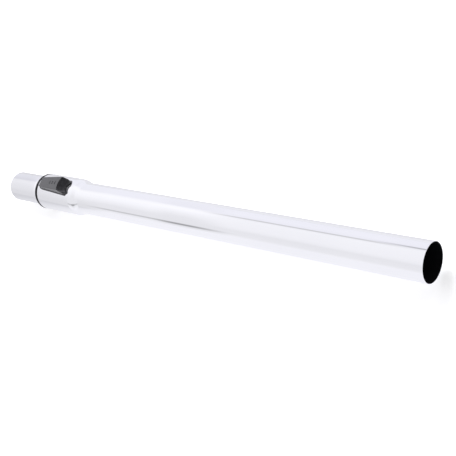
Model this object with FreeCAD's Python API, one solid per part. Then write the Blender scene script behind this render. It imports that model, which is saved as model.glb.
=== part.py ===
import FreeCAD, Part
import math
import os

# Telescopic vacuum wand, drawn pushed in.
# Millimetres. X runs along the wand from the tip of the nozzle spigot to the mouth of the handle socket,
# Z points up through the thumb button, and the origin is on the axis at the spigot's tip.

V = FreeCAD.Vector

# Outer tube
WAND_LENGTH = 541.6        # spigot tip to socket mouth, pushed in
TUBE_DIA = 35.0
TUBE_WALL = 0.75
HEAD_LENGTH = 53.0         # widened end that holds the guide sleeve
SWAGE_LENGTH = 16.0        # smooth step from the head down to the tube
SOCKET_WALL = 0.5          # the end that takes the handle is drawn thinner
SOCKET_DEPTH = 45.0
SOCKET_STEP = 1.0          # length of the taper at the foot of the socket

# Inner tube
TUBE_GAP = 0.75            # radial, between the two tubes
INNER_WALL = 0.7
SPIGOT_FIT = 0.15          # radial, of the spigot in a socket like the wand's own
SPIGOT_LENGTH = 44.7       # widened end that takes the nozzle
SHOULDER_LENGTH = 6.5      # narrowing from the spigot to the tube
TIP_BEVEL = 1.2            # of the turned-in tip

# Track and notches pressed into the inner tube
TRACK_WIDTH = 9.2
TRACK_DEPTH = 1.8
TRACK_SETBACK = 2.5        # head rim to the track's near end
NOTCH_PITCH = 28.0
NOTCH_RADIUS = 1.95
NOTCH_DEPTH = 1.15         # below the track's floor
NOTCH_MARGIN = 0.15        # notch end to the side of the track

# Guide sleeve and its collar
COLLAR_GAP = 1.5           # end of the shoulder to the collar
COLLAR_WIDTH = 4.7
COLLAR_STEP = 0.05         # radial, below the head
COLLAR_BEVEL = 0.6         # radial, at the collar's front edge
COLLAR_BEVEL_LENGTH = 0.9
SLEEVE_WALL = 3.35
SLEEVE_MARGIN = 1.0        # sleeve end to the start of the swage
SLEEVE_FIT = 0.1           # radial, in the head
GUIDE_CLEARANCE = 0.25     # radial, around the inner tube
RIB_CLEARANCE = 0.3        # guide rib in the track

# Wiper seal
SEAL_WIDTH = 2.0
SEAL_DEPTH = 1.1           # radial depth of its groove
SEAL_SETBACK = 1.8         # collar front to the groove
SEAL_CLEARANCE = 0.1

# Glide bush on the hidden end of the inner tube
BUSH_LENGTH = 32.0
BUSH_LIP = 1.5
BUSH_FIT = 0.05
BUSH_CLEARANCE = 0.2       # radial, in the outer tube
STOP_GAP = 0.5             # bush to sleeve when fully drawn out
SOCKET_SPARE = 12.0        # bush to the foot of the socket when pushed in

# Thumb button
BUTTON_SETBACK = 5.5       # head rim to the button's nose
BUTTON_LENGTH = 46.0
BUTTON_NOSE_WIDTH = 11.2
BUTTON_WAIST_WIDTH = 13.4
BUTTON_WAIST_X = 4.0       # nose to the place where the sides change their lean
BUTTON_TAIL_WIDTH = 17.8
BUTTON_NOSE_RISE = 3.6     # above the head
BUTTON_CREST_RISE = 8.8
BUTTON_CREST_X = 37.4      # nose to the crest
BUTTON_TAIL_RISE = 1.0
BUTTON_DRAFT = 0.4         # lean of each side over the button's height
BUTTON_WALL = 1.2
BUTTON_BEVEL = 0.6         # round the edge of the top
BUTTON_LIFT = 0.3          # running gap above the head
BUTTON_TRAVEL = 5.0
SKIRT_WIDTH = 0.8          # narrow foot round the button
SKIRT_HEIGHT = 0.7
SCOOP_RADIUS = 15.0
TAIL_NOTCH = 3.8           # depth of the vee in the tail
TAIL_CORNER = 2.6          # chamfer of each prong
RIDGE_COUNT = 3
RIDGE_PITCH = 5.2
RIDGE_LENGTH = 4.0
RIDGE_RADIUS = 0.45
RIDGE_SETBACK = 20.4       # nose to the first ridge

# Window in the head, and the button's legs in it
WINDOW_SETBACK = 7.1       # head rim to the window
WINDOW_LENGTH = 36.5
WINDOW_CORNER = 1.5
LEG_CLEARANCE = 0.3
CHEEK_THICKNESS = 0.9
FOOT_LENGTH = 6.0
FOOT_REACH = 1.9           # outwards, under the window's edge
FOOT_THICKNESS = 1.2
FOOT_CLEARANCE = 0.25      # under the head, and above the sleeve
POCKET_SPARE = 1.3         # window end to the end of the sleeve's pocket

# Locking key, its cross pin and the return spring
LOCK_SETBACK = 28.6        # head rim to the key
KEY_LENGTH = 5.4
KEY_CLEARANCE = 0.15       # in its well, and its tooth in a notch
KEY_CROWN = 1.6            # above the cross pin
LIFT_MARGIN = 0.5          # tooth above the track when lifted
PIN_DIA = 2.4
PIN_DROP = 0.45            # below the outside of the head, when locked
PIN_FIT = 0.03             # in the key
CAM_CLEARANCE = 0.1        # in the button's slots
WEB_THICKNESS = 1.4        # wall of the button that the spring pushes
WEB_SETBACK = 2.8          # key to that wall
SPRING_DIA = 2.4
SPRING_WIRE = 0.5
SPRING_TURNS = 4
COIL_STEPS = 24            # sections in each turn of the coil
SPRING_CLEARANCE = 0.15

# Stations along the wand
SHOULDER_END_X = SPIGOT_LENGTH + SHOULDER_LENGTH
COLLAR_X = SHOULDER_END_X + COLLAR_GAP
HEAD_X = COLLAR_X + COLLAR_WIDTH
SWAGE_X = HEAD_X + HEAD_LENGTH
BODY_X = SWAGE_X + SWAGE_LENGTH
SOCKET_X = WAND_LENGTH - SOCKET_DEPTH
SLEEVE_END_X = SWAGE_X - SLEEVE_MARGIN
LOCK_X = HEAD_X + LOCK_SETBACK
BUTTON_X = HEAD_X + BUTTON_SETBACK
WINDOW_X = HEAD_X + WINDOW_SETBACK
WINDOW_END_X = WINDOW_X + WINDOW_LENGTH
POCKET_X = WINDOW_X - POCKET_SPARE
POCKET_END_X = WINDOW_END_X + POCKET_SPARE

# The stroke is as many whole notch pitches as the outer tube has room for
STROKE_ROOM = SOCKET_X - SOCKET_SPARE - BUSH_LENGTH - SLEEVE_END_X - STOP_GAP
NOTCH_COUNT = int(STROKE_ROOM / NOTCH_PITCH) + 1
STROKE = (NOTCH_COUNT - 1) * NOTCH_PITCH
BUSH_X = SLEEVE_END_X + STROKE + STOP_GAP
INNER_END_X = BUSH_X + BUSH_LENGTH - BUSH_LIP
TRACK_X = HEAD_X + TRACK_SETBACK
TRACK_END_X = BUSH_X - BUSH_LIP
RIB_X = TRACK_X + TRACK_WIDTH / 2 + RIB_CLEARANCE
RIB_END_X = TRACK_END_X - STROKE - TRACK_WIDTH / 2 - RIB_CLEARANCE

# Radii and heights
TUBE_R = TUBE_DIA / 2
TUBE_BORE_R = TUBE_R - TUBE_WALL
SOCKET_R = TUBE_R - SOCKET_WALL
SPIGOT_R = SOCKET_R - SPIGOT_FIT
INNER_R = TUBE_BORE_R - TUBE_GAP
GUIDE_R = INNER_R + GUIDE_CLEARANCE
SLEEVE_R = GUIDE_R + SLEEVE_WALL
HEAD_BORE_R = SLEEVE_R + SLEEVE_FIT
HEAD_R = HEAD_BORE_R + TUBE_WALL
TRACK_FLOOR_Z = INNER_R - TRACK_DEPTH
NOTCH_Z = TRACK_FLOOR_Z + NOTCH_RADIUS - NOTCH_DEPTH
TOOTH_R = NOTCH_RADIUS - KEY_CLEARANCE
LOCK_LIFT = NOTCH_DEPTH - KEY_CLEARANCE + LIFT_MARGIN
NOTCH_WIDTH = TRACK_WIDTH - 2 * NOTCH_MARGIN
KEY_WIDTH = NOTCH_WIDTH - 2 * KEY_CLEARANCE
PIN_HEIGHT = HEAD_R - PIN_DROP
CHEEK_IN_Y = KEY_WIDTH / 2 + LEG_CLEARANCE
CHEEK_OUT_Y = CHEEK_IN_Y + CHEEK_THICKNESS
WINDOW_WIDTH = 2 * (CHEEK_OUT_Y + LEG_CLEARANCE)
FOOT_R = HEAD_BORE_R - FOOT_CLEARANCE
FOOT_IN_R = FOOT_R - FOOT_THICKNESS
FOOT_OUT_Y = CHEEK_OUT_Y + FOOT_REACH
POCKET_R = FOOT_IN_R - FOOT_CLEARANCE
BUTTON_BASE_R = HEAD_R + BUTTON_LIFT
LEG_X = WINDOW_X + BUTTON_TRAVEL + WINDOW_CORNER
LEG_END_X = WINDOW_END_X - WINDOW_CORNER
WEB_END_X = LOCK_X - KEY_LENGTH / 2 - WEB_SETBACK
WEB_X = WEB_END_X - WEB_THICKNESS
SPRING_Z = HEAD_BORE_R - SPRING_CLEARANCE - SPRING_DIA / 2
FAR = 4 * HEAD_R           # longer than anything that is cut across the wand


def turned(start, legs):
    """A ring turned about X from a closed outline of (x, radius) points.
    A leg of one point is a line to it, and a leg of two is an arc through the first to the second."""
    here = V(start[0], 0, start[1])
    edges = []
    for leg in legs + [[start]]:
        points = [V(x, 0, radius) for x, radius in leg]
        if len(points) == 2:
            edges.append(Part.Arc(here, points[0], points[1]).toShape())
        else:
            edges.append(Part.LineSegment(here, points[0]).toShape())
        here = points[-1]
    return Part.Face(Part.Wire(edges)).revolve(V(0, 0, 0), V(1, 0, 0), 360)


def s_bend(x0, r0, x1, r1):
    """The two arc legs of a smooth step from (x0, r0) to (x1, r1), level at both ends."""
    run = (x1 - x0) / 2
    step = (r1 - r0) / 2
    radius = (run ** 2 + step ** 2) / (2 * abs(step))
    half_turn = math.atan2(abs(step), abs(run))
    along = math.copysign(radius * math.sin(half_turn), run)
    rise = math.copysign(radius * (1 - math.cos(half_turn)), step)
    first = [(x0 + along, r0 + rise), (x0 + run, r0 + step)]
    second = [(x1 - along, r1 - rise), (x1, r1)]
    return [first, second]


def rod(x0, x1, radius):
    """A solid round bar along X."""
    return Part.makeCylinder(radius, x1 - x0, V(x0, 0, 0), V(1, 0, 0))


def cross_rod(x, z, radius, width):
    """A round bar across the wand, along Y."""
    return Part.makeCylinder(radius, width, V(x, -width / 2, z), V(0, 1, 0))


def block(x0, x1, y0, y1, z0, z1):
    return Part.makeBox(x1 - x0, y1 - y0, z1 - z0, V(x0, y0, z0))


def both_sides(shape):
    """The shape and its mirror image in the wand's middle plane."""
    return [shape, shape.mirror(V(0, 0, 0), V(0, 1, 0))]


def flat_face(points, place):
    """A face on a closed polygon. place turns a pair of numbers into a point."""
    corners = [place(a, b) for a, b in points]
    return Part.Face(Part.makePolygon(corners + corners[:1]))


def rounded_window(x0, x1, width, corner, z0, z1):
    """An upright prism with rounded corners in plan."""
    prism = block(x0, x1, -width / 2, width / 2, z0, z1)
    upright = [e for e in prism.Edges if abs(e.tangentAt(e.FirstParameter).z) > 0.9]
    return prism.makeFillet(corner, upright)


def outer_tube():
    step_x = SOCKET_X - SOCKET_STEP
    bore = [[(SOCKET_X, SOCKET_R)], [(step_x, TUBE_BORE_R)], [(BODY_X, TUBE_BORE_R)]]
    swage_in = s_bend(BODY_X, TUBE_BORE_R, SWAGE_X, HEAD_BORE_R)
    swage_out = s_bend(SWAGE_X, HEAD_R, BODY_X, TUBE_R)
    outside = [[(HEAD_X, HEAD_BORE_R)], [(HEAD_X, HEAD_R)], [(SWAGE_X, HEAD_R)]] + swage_out
    tube = turned((WAND_LENGTH, SOCKET_R), bore + swage_in + outside + [[(WAND_LENGTH, TUBE_R)]])
    window = rounded_window(WINDOW_X, WINDOW_END_X, WINDOW_WIDTH, WINDOW_CORNER, 0, 2 * HEAD_R)
    return tube.cut(window)


def inner_form(inset):
    """The inner tube's outside as a turned solid, or its bore where inset is the wall."""
    spigot = SPIGOT_R - inset
    tube = INNER_R - inset
    tip = [[(inset, spigot - TIP_BEVEL + inset)], [(TIP_BEVEL, spigot)]]
    shoulder = [[(SPIGOT_LENGTH, spigot)], [(SHOULDER_END_X, tube)]]
    return turned((inset, 0), tip + shoulder + [[(INNER_END_X, tube)], [(INNER_END_X, 0)]])


def track_and_notches(skin):
    """The pressing of the track and its notches, grown all round by skin."""
    half = TRACK_WIDTH / 2 + skin
    floor = TRACK_FLOOR_Z - skin
    height = INNER_R - floor + TRACK_DEPTH
    ends = [TRACK_X + TRACK_WIDTH / 2, TRACK_END_X - TRACK_WIDTH / 2]
    track = block(ends[0], ends[1], -half, half, floor, floor + height)
    pieces = [Part.makeCylinder(half, height, V(x, 0, floor)) for x in ends]
    for i in range(NOTCH_COUNT):
        x = LOCK_X + i * NOTCH_PITCH
        pieces.append(cross_rod(x, NOTCH_Z, NOTCH_RADIUS + skin, NOTCH_WIDTH + 2 * skin))
    return track.fuse(pieces)


def inner_tube():
    outside = inner_form(0).cut(track_and_notches(0))
    bore = inner_form(INNER_WALL).cut(track_and_notches(INNER_WALL))
    mouth = rod(0, TIP_BEVEL, SPIGOT_R - TIP_BEVEL)
    return outside.cut([bore, mouth])


def guide_sleeve():
    """Sleeve with its collar, the rib that runs in the track, the key's well and the button's pocket."""
    collar_r = HEAD_R - COLLAR_STEP
    nose = [[(COLLAR_X, collar_r - COLLAR_BEVEL)], [(COLLAR_X + COLLAR_BEVEL_LENGTH, collar_r)]]
    outside = [[(HEAD_X, collar_r)], [(HEAD_X, SLEEVE_R)], [(SLEEVE_END_X, SLEEVE_R)]]
    sleeve = turned((COLLAR_X, GUIDE_R), nose + outside + [[(SLEEVE_END_X, GUIDE_R)]])
    groove_x = COLLAR_X + SEAL_SETBACK
    groove = rod(groove_x, groove_x + SEAL_WIDTH, GUIDE_R + SEAL_DEPTH)
    half = TRACK_WIDTH / 2 - RIB_CLEARANCE
    rib = block(RIB_X, RIB_END_X, -half, half, TRACK_FLOOR_Z + RIB_CLEARANCE, GUIDE_R + SLEEVE_FIT)
    reach = FOOT_OUT_Y + FOOT_CLEARANCE
    pocket = block(POCKET_X, POCKET_END_X, -reach, reach, 0, 2 * HEAD_R)
    pocket = pocket.cut(rod(0, WAND_LENGTH, POCKET_R))
    well_half = KEY_LENGTH / 2 + KEY_CLEARANCE
    well_side = KEY_WIDTH / 2 + KEY_CLEARANCE
    well = block(LOCK_X - well_half, LOCK_X + well_half, -well_side, well_side, 0, 2 * HEAD_R)
    trough = rod(POCKET_X, WEB_END_X + SPRING_CLEARANCE, SPRING_DIA / 2 + SPRING_CLEARANCE)
    trough.translate(V(0, 0, SPRING_Z))
    return sleeve.fuse(rib).cut([groove, pocket, well, trough])


def wiper_seal():
    """Ring with a thin wiping lip, seated in the collar's groove."""
    x0 = COLLAR_X + SEAL_SETBACK + SEAL_CLEARANCE
    x1 = x0 + SEAL_WIDTH - 2 * SEAL_CLEARANCE
    lip_r = INNER_R + SEAL_CLEARANCE
    seat_r = GUIDE_R + SEAL_DEPTH - SEAL_CLEARANCE
    return turned((x0, lip_r), [[(x0, seat_r)], [(x1, seat_r)], [(x1, GUIDE_R)]])


def glide_bush():
    """Thin ring over the inner tube's end, with a lip that covers the cut edge."""
    tube_r = INNER_R + BUSH_FIT
    outer_r = TUBE_BORE_R - BUSH_CLEARANCE
    seat_x = INNER_END_X + BUSH_FIT
    end_x = BUSH_X + BUSH_LENGTH
    lip_r = INNER_R - INNER_WALL
    seat = [[(BUSH_X, outer_r)], [(end_x, outer_r)], [(end_x, lip_r)], [(seat_x, lip_r)]]
    return turned((BUSH_X, tube_r), seat + [[(seat_x, tube_r)]])


def button_plan(draft, z):
    """The button's outline in plan at height z, with every side drawn in by draft."""
    nose_x = BUTTON_X + draft
    tail_x = BUTTON_X + BUTTON_LENGTH - draft
    tail = BUTTON_TAIL_WIDTH / 2 - draft
    side = [
        V(nose_x, BUTTON_NOSE_WIDTH / 2 - draft, z),
        V(BUTTON_X + BUTTON_WAIST_X, BUTTON_WAIST_WIDTH / 2 - draft, z),
        V(tail_x - TAIL_CORNER, tail, z),
        V(tail_x, tail - TAIL_CORNER, z),
    ]
    vee = V(tail_x - TAIL_NOTCH, 0, z)
    other_side = [V(point.x, -point.y, point.z) for point in reversed(side)]
    return Part.makePolygon(side + [vee] + other_side + side[:1])


def button_top(x):
    """Height of the button's sloping top above the axis."""
    slope = (BUTTON_CREST_RISE - BUTTON_NOSE_RISE) / BUTTON_CREST_X
    return HEAD_R + BUTTON_NOSE_RISE + slope * (x - BUTTON_X)


def scoop_ball():
    """The ball whose surface is the thumb scoop, from the crest down to the vee in the tail."""
    crest = V(BUTTON_X + BUTTON_CREST_X, 0, HEAD_R + BUTTON_CREST_RISE)
    foot = V(BUTTON_X + BUTTON_LENGTH - TAIL_NOTCH, 0, HEAD_R + BUTTON_TAIL_RISE)
    chord = foot - crest
    away = V(-chord.z, 0, chord.x).normalize()
    depth = math.sqrt(SCOOP_RADIUS ** 2 - (chord.Length / 2) ** 2)
    return Part.makeSphere(SCOOP_RADIUS, (crest + foot) * 0.5 + away * depth)


def button_form(base_z, wall):
    """The button as a solid from base_z up, or with wall the hollow inside it."""
    crest_z = HEAD_R + BUTTON_CREST_RISE
    low = button_plan(wall, base_z)
    high = button_plan(wall + BUTTON_DRAFT, crest_z)
    sides = Part.makeLoft([low, high], True, True)
    ahead_x = BUTTON_X - BUTTON_LENGTH
    behind_x = BUTTON_X + 2 * BUTTON_LENGTH
    above = [
        (ahead_x, button_top(ahead_x) - wall),
        (behind_x, button_top(behind_x) - wall),
        (behind_x, FAR),
        (ahead_x, FAR),
    ]
    roof = flat_face(above, lambda x, z: V(x, -FAR / 2, z)).extrude(V(0, FAR, 0))
    return sides.cut(roof)


def on_rim(edge):
    """True for an edge of the button's sloping top that begins ahead of the crest."""
    in_top = all(abs(end.Z - button_top(end.X)) < BUTTON_BEVEL / 100 for end in edge.Vertexes)
    return in_top and min(end.X for end in edge.Vertexes) < BUTTON_X + BUTTON_CREST_X


def cam_slot():
    """The slanted slot through both cheeks that carries the cross pin up as the button slides."""
    radius = PIN_DIA / 2 + CAM_CLEARANCE
    low = V(LOCK_X, -CHEEK_OUT_Y, PIN_HEIGHT)
    high = low + V(BUTTON_TRAVEL, 0, LOCK_LIFT)
    along = (high - low).normalize() * radius
    across = V(-along.z, 0, along.x)
    edges = [
        Part.LineSegment(low + across, high + across),
        Part.Arc(high + across, high + along, high - across),
        Part.LineSegment(high - across, low - across),
        Part.Arc(low - across, low - along, low + across),
    ]
    face = Part.Face(Part.Wire([edge.toShape() for edge in edges]))
    return face.extrude(V(0, 2 * CHEEK_OUT_Y, 0))


def button_legs(form):
    """The two cheeks under the button, their feet, and the wall that takes the spring."""
    cheek = block(LEG_X, LEG_END_X, CHEEK_IN_Y, CHEEK_OUT_Y, FOOT_IN_R - FOOT_THICKNESS / 2, FAR)
    ring = rod(LEG_X, LEG_END_X, FOOT_R).cut(rod(LEG_X, LEG_END_X, FOOT_IN_R))
    web = block(WEB_X, WEB_END_X, -CHEEK_OUT_Y, CHEEK_OUT_Y, 0, FAR).common(form)
    pad = rod(WEB_X, WEB_END_X, SPRING_DIA / 2)
    pad.translate(V(0, 0, SPRING_Z))
    pieces = both_sides(cheek.common(form)) + [web.cut(rod(WEB_X, WEB_END_X, FOOT_IN_R)), pad]
    for x in (LEG_X, LEG_END_X - FOOT_LENGTH):
        foot = block(x, x + FOOT_LENGTH, CHEEK_IN_Y, FOOT_OUT_Y, 0, FAR).common(ring)
        pieces += both_sides(foot)
    return pieces


def thumb_button():
    """Wedge with ridges on top, a thumb scoop behind the crest and a vee in its tail."""
    base_z = POCKET_R - FOOT_THICKNESS
    scoop = scoop_ball()
    blank = button_form(base_z, 0)
    rim = [edge for edge in blank.Edges if on_rim(edge)]
    form = blank.makeChamfer(BUTTON_BEVEL, rim).cut(scoop)
    thick_scoop = Part.makeSphere(SCOOP_RADIUS + BUTTON_WALL, scoop.Solids[0].CenterOfMass)
    hollow_end = block(LEG_END_X, FAR + LEG_END_X, -FAR, FAR, 0, FAR)
    hollow = button_form(base_z - BUTTON_WALL, BUTTON_WALL).cut([thick_scoop, hollow_end])
    shell = form.cut([hollow, rod(0, WAND_LENGTH, BUTTON_BASE_R)])
    skirt_ring = rod(0, WAND_LENGTH, BUTTON_BASE_R + SKIRT_HEIGHT)
    skirt_ring = skirt_ring.cut(rod(0, WAND_LENGTH, BUTTON_BASE_R))
    skirt = button_form(base_z, -SKIRT_WIDTH).common(skirt_ring).cut(hollow)
    ridges = []
    for i in range(RIDGE_COUNT):
        x = BUTTON_X + RIDGE_SETBACK + i * RIDGE_PITCH
        ridges.append(cross_rod(x, button_top(x), RIDGE_RADIUS, RIDGE_LENGTH))
    button = shell.fuse([skirt] + ridges + button_legs(form))
    return button.cut(cam_slot())


def lock_key():
    """Upright key: a round-nosed tooth below, and a cross hole for the pin above."""
    half = KEY_LENGTH / 2
    side = KEY_WIDTH / 2
    shank = block(LOCK_X - half, LOCK_X + half, -side, side, NOTCH_Z, PIN_HEIGHT + KEY_CROWN)
    tooth = cross_rod(LOCK_X, NOTCH_Z, TOOTH_R, KEY_WIDTH)
    return shank.fuse(tooth).cut(cross_rod(LOCK_X, PIN_HEIGHT, PIN_DIA / 2 + PIN_FIT, FAR))


def lock_pin():
    return cross_rod(LOCK_X, PIN_HEIGHT, PIN_DIA / 2, 2 * (CHEEK_OUT_Y - CAM_CLEARANCE))


def return_spring():
    """Open coil of square wire between the end of the sleeve's pocket and the button's wall."""
    half = SPRING_WIRE / 2
    start_x = POCKET_X + half + SPRING_CLEARANCE
    rise = (WEB_X - half - SPRING_CLEARANCE - start_x) / (SPRING_TURNS * COIL_STEPS)
    inside = SPRING_DIA / 2 - SPRING_WIRE
    outside = SPRING_DIA / 2
    sections = []
    for i in range(SPRING_TURNS * COIL_STEPS + 1):
        angle = 2 * math.pi * i / COIL_STEPS
        across = V(0, math.sin(angle), math.cos(angle))
        along = V(half, 0, 0)
        middle = V(start_x + i * rise, 0, SPRING_Z)
        corners = [
            middle + across * inside - along,
            middle + across * outside - along,
            middle + across * outside + along,
            middle + across * inside + along,
        ]
        sections.append(Part.makePolygon(corners + corners[:1]))
    return Part.makeLoft(sections, True, True)


NODES = {
    "outer_tube": outer_tube,
    "inner_tube": inner_tube,
    "guide_sleeve": guide_sleeve,
    "wiper_seal": wiper_seal,
    "glide_bush": glide_bush,
    "thumb_button": thumb_button,
    "lock_key": lock_key,
    "lock_pin": lock_pin,
    "return_spring": return_spring,
}

os.makedirs("parts", exist_ok=True)
for name, make in NODES.items():
    shape = make().removeSplitter()
    print(name, len(shape.Solids), "solid", round(shape.Volume, 1), "mm3", shape.isValid())
    shape.exportStep("parts/" + name + ".step")
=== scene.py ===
import math

import bmesh
import bpy
import numpy as np
from mathutils import Matrix, Vector


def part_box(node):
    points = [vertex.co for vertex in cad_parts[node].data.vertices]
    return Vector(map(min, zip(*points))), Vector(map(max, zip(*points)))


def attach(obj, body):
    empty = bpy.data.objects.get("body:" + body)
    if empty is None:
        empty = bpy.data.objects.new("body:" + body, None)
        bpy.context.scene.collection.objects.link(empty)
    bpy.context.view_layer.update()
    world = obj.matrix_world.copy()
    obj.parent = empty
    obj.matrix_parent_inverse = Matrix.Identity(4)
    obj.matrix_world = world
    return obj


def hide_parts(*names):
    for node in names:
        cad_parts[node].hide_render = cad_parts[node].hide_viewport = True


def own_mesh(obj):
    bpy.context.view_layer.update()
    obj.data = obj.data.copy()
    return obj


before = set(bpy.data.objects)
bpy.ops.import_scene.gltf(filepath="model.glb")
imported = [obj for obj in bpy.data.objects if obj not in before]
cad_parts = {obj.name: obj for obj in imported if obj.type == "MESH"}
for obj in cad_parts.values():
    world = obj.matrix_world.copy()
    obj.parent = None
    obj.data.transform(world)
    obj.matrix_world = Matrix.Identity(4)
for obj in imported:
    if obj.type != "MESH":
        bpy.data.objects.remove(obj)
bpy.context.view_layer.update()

# Telescopic vacuum wand, pushed in, on a pale floor.
# Sizes are in millimetres in the frame of the solids: X runs along the wand from the nozzle spigot to the
# handle socket, Z is up through the thumb button, and meshes are scaled to metres when they are made.

MM = 0.001


def node_box(node):
    """Lowest and highest corner of a solid, in millimetres."""
    low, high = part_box(node)
    return low / MM, high / MM


OUTER_LOW, OUTER_HIGH = node_box("outer_tube")
SLEEVE_LOW, SLEEVE_HIGH = node_box("guide_sleeve")
PIN_LOW, PIN_HIGH = node_box("lock_pin")
KEY_LOW, KEY_HIGH = node_box("lock_key")
SPRING_LOW, SPRING_HIGH = node_box("return_spring")

# Outer tube
TUBE_R = 17.5
TUBE_WALL = 0.75
HEAD_X = OUTER_LOW.x
HEAD_R = OUTER_HIGH.z
HEAD_BORE_R = HEAD_R - TUBE_WALL
WAND_END_X = OUTER_HIGH.x
TUBE_BORE_R = TUBE_R - TUBE_WALL
SWAGE_X = HEAD_X + 53.0
SWAGE_LENGTH = 16.0
SOCKET_R = 17.0
SOCKET_DEPTH = 45.0
SOCKET_STEP = 1.0
RIM_ROUND = 0.2
WINDOW_X = HEAD_X + 7.1
WINDOW_LENGTH = 36.5
WINDOW_WIDTH = 11.6
WINDOW_CORNER = 1.5

# Inner tube, its track and notches
SPIGOT_R = 16.85
INNER_R = 16.0
INNER_WALL = 0.7
SPIGOT_LENGTH = 44.7
SHOULDER_LENGTH = 6.5
TIP_BEVEL = 1.2
INNER_END_X = node_box("inner_tube")[1].x
TRACK_WIDTH = 9.2
TRACK_FLOOR_Z = INNER_R - 1.8
TRACK_X = HEAD_X + 2.5
TRACK_END_X = node_box("glide_bush")[0].x - 1.5
NOTCH_PITCH = 28.0
NOTCH_COUNT = 13
NOTCH_RADIUS = 1.95
NOTCH_DEPTH = 1.15
NOTCH_X = (PIN_LOW.x + PIN_HIGH.x) / 2
PRESS_ROUND = 0.3

# Guide sleeve
GUIDE_R = 16.25
SLEEVE_R = HEAD_BORE_R - 0.1
COLLAR_X = SLEEVE_LOW.x
COLLAR_R = SLEEVE_HIGH.z
COLLAR_BEVEL = 0.6
COLLAR_BEVEL_LENGTH = 0.9
COLLAR_ROUND = 0.4
COLLAR_ROUND_DROP = 0.6 * COLLAR_ROUND
COLLAR_BACK_BEVEL = 0.15
CROWN_LEAD = 0.5
CROWN_TRAIL = 0.3
SLEEVE_END_X = SLEEVE_HIGH.x
SEAL_GROOVE_X = COLLAR_X + 1.8
SEAL_WIDTH = 2.0
SEAL_GROOVE_R = GUIDE_R + 1.1
POCKET_R = 18.0
POCKET_SPARE = 1.3
POCKET_HALF = 7.65
GUIDE_BEVEL = 0.3
RIB_CLEARANCE = 0.3
RIB_END_X = SLEEVE_END_X - 6.0
RIB_SINK = 0.1
KEY_CLEARANCE = 0.15

# Thumb button
BUTTON_X = HEAD_X + 5.5
BUTTON_LENGTH = 46.0
NOSE_HALF = 5.6
WAIST_HALF = 6.7
WAIST_X = 4.0
TAIL_HALF = 8.9
NOSE_RISE = 3.6
CREST_RISE = 8.8
CREST_X = 37.4
TAIL_RISE = 1.0
TAIL_NOTCH = 3.8
TAIL_CORNER = 2.6
SCOOP_RADIUS = 15.0
CREST_SOFT = 0.3
DRAFT = 0.4
DRAFT_BASE_Z = 16.8
BUTTON_WALL = 1.2
HOLLOW_LEAST = 0.1
BUTTON_ROUND = 0.6
BUTTON_BASE_R = HEAD_R + 0.3
SKIRT_WIDTH = 0.8
SKIRT_HEIGHT = 0.7
SKIRT_ROUND = 0.15
RIDGE_COUNT = 3
RIDGE_PITCH = 5.2
RIDGE_LENGTH = 4.0
RIDGE_RADIUS = 0.45
RIDGE_X = BUTTON_X + 20.4
CHEEK_IN_Y = 4.6
CHEEK_OUT_Y = 5.5
LEG_X = WINDOW_X + 6.5
LEG_END_X = WINDOW_X + WINDOW_LENGTH - WINDOW_CORNER
FOOT_R = HEAD_BORE_R - 0.25
FOOT_IN_R = FOOT_R - 1.2
FOOT_LENGTH = 6.0
CHEEK_LOW_Z = FOOT_IN_R - 0.6
CHEEK_CREST_X = BUTTON_X + CREST_X - 2.0
CUT_SPARE = 1.0
FOOT_OUT_Y = 7.4
BUTTON_TRAVEL = 5.0
LOCK_LIFT = 1.5
PIN_RADIUS = (PIN_HIGH.x - PIN_LOW.x) / 2
PIN_Z = (PIN_LOW.z + PIN_HIGH.z) / 2
CAM_CLEARANCE = 0.1
WEB_END_X = KEY_LOW.x - 2.8
WEB_THICKNESS = 1.4

# Return spring
SPRING_WIRE = 0.5
SPRING_TURNS = 4
SPRING_CLEARANCE = 0.15
SPRING_R = (SPRING_HIGH.z - SPRING_LOW.z) / 2
SPRING_Z = (SPRING_LOW.z + SPRING_HIGH.z) / 2

# How finely curves are divided
TURN_STEPS = 192
ARC_STEPS = 6
BEND_STEPS = 20
COIL_STEPS = 40
WIRE_STEPS = 12
HOOP_STEPS = 96
CAM_STEPS = 10
TIP_STEPS = 8
POCKET_POINTS = 17
FOOT_POINTS = 6
# Over the track, the inner tube's columns lie closer together
TRACK_STRIP_HALF = 6.6
TRACK_COLUMNS = 41
PLAIN_COLUMNS = 130
# Stations along the track's ends and across each notch, and how far they run past them
TRACK_END_STATIONS = 13
TRACK_END_SPARE = 1.0
NOTCH_STATIONS = 11
NOTCH_SPARE = 0.6
# The button's lattice: nose to crest, crest to tail, extra rows at the crest, and the columns of each half
AHEAD_POINTS = 29
AHEAD_CROWDING = 1.25
BEHIND_POINTS = 21
CREST_ROWS = [0.985, 0.994, 1.01, 1.03]
INNER_COLUMNS = 11
CORNER_COLUMNS = 6
ROUND_ANGLES = [22.5, 45, 67.5, 90]
WALL_SHARES = [0.35, 0.7, 1]
# Rounds of the button's repeated estimates
CREST_HALVINGS = 40
PLAN_ROUNDS = 12
DRAFT_ROUNDS = 3


def new_object(name, verts, faces, materials, face_materials=None):
    """A smooth-shaded mesh from points in millimetres."""
    mesh = bpy.data.meshes.new(name)
    mesh.from_pydata((np.asarray(verts, float) * MM).tolist(), [], [list(f) for f in faces])
    for material in materials:
        mesh.materials.append(material)
    if face_materials is not None:
        mesh.polygons.foreach_set("material_index", np.asarray(face_materials, np.int32))
    mesh.validate()
    smooth(mesh)
    piece = bpy.data.objects.new(name, mesh)
    bpy.context.scene.collection.objects.link(piece)
    return piece


def smooth(mesh, angle=35):
    mesh.shade_smooth()
    mesh.set_sharp_from_angle(angle=math.radians(angle))


def arc(centre, radius, start, end, steps=ARC_STEPS):
    """Points of an arc in a plane, from one angle to another, in degrees."""
    angles = np.radians(np.linspace(start, end, steps + 1))
    return [(centre[0] + radius * math.cos(a), centre[1] + radius * math.sin(a)) for a in angles]


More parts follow.
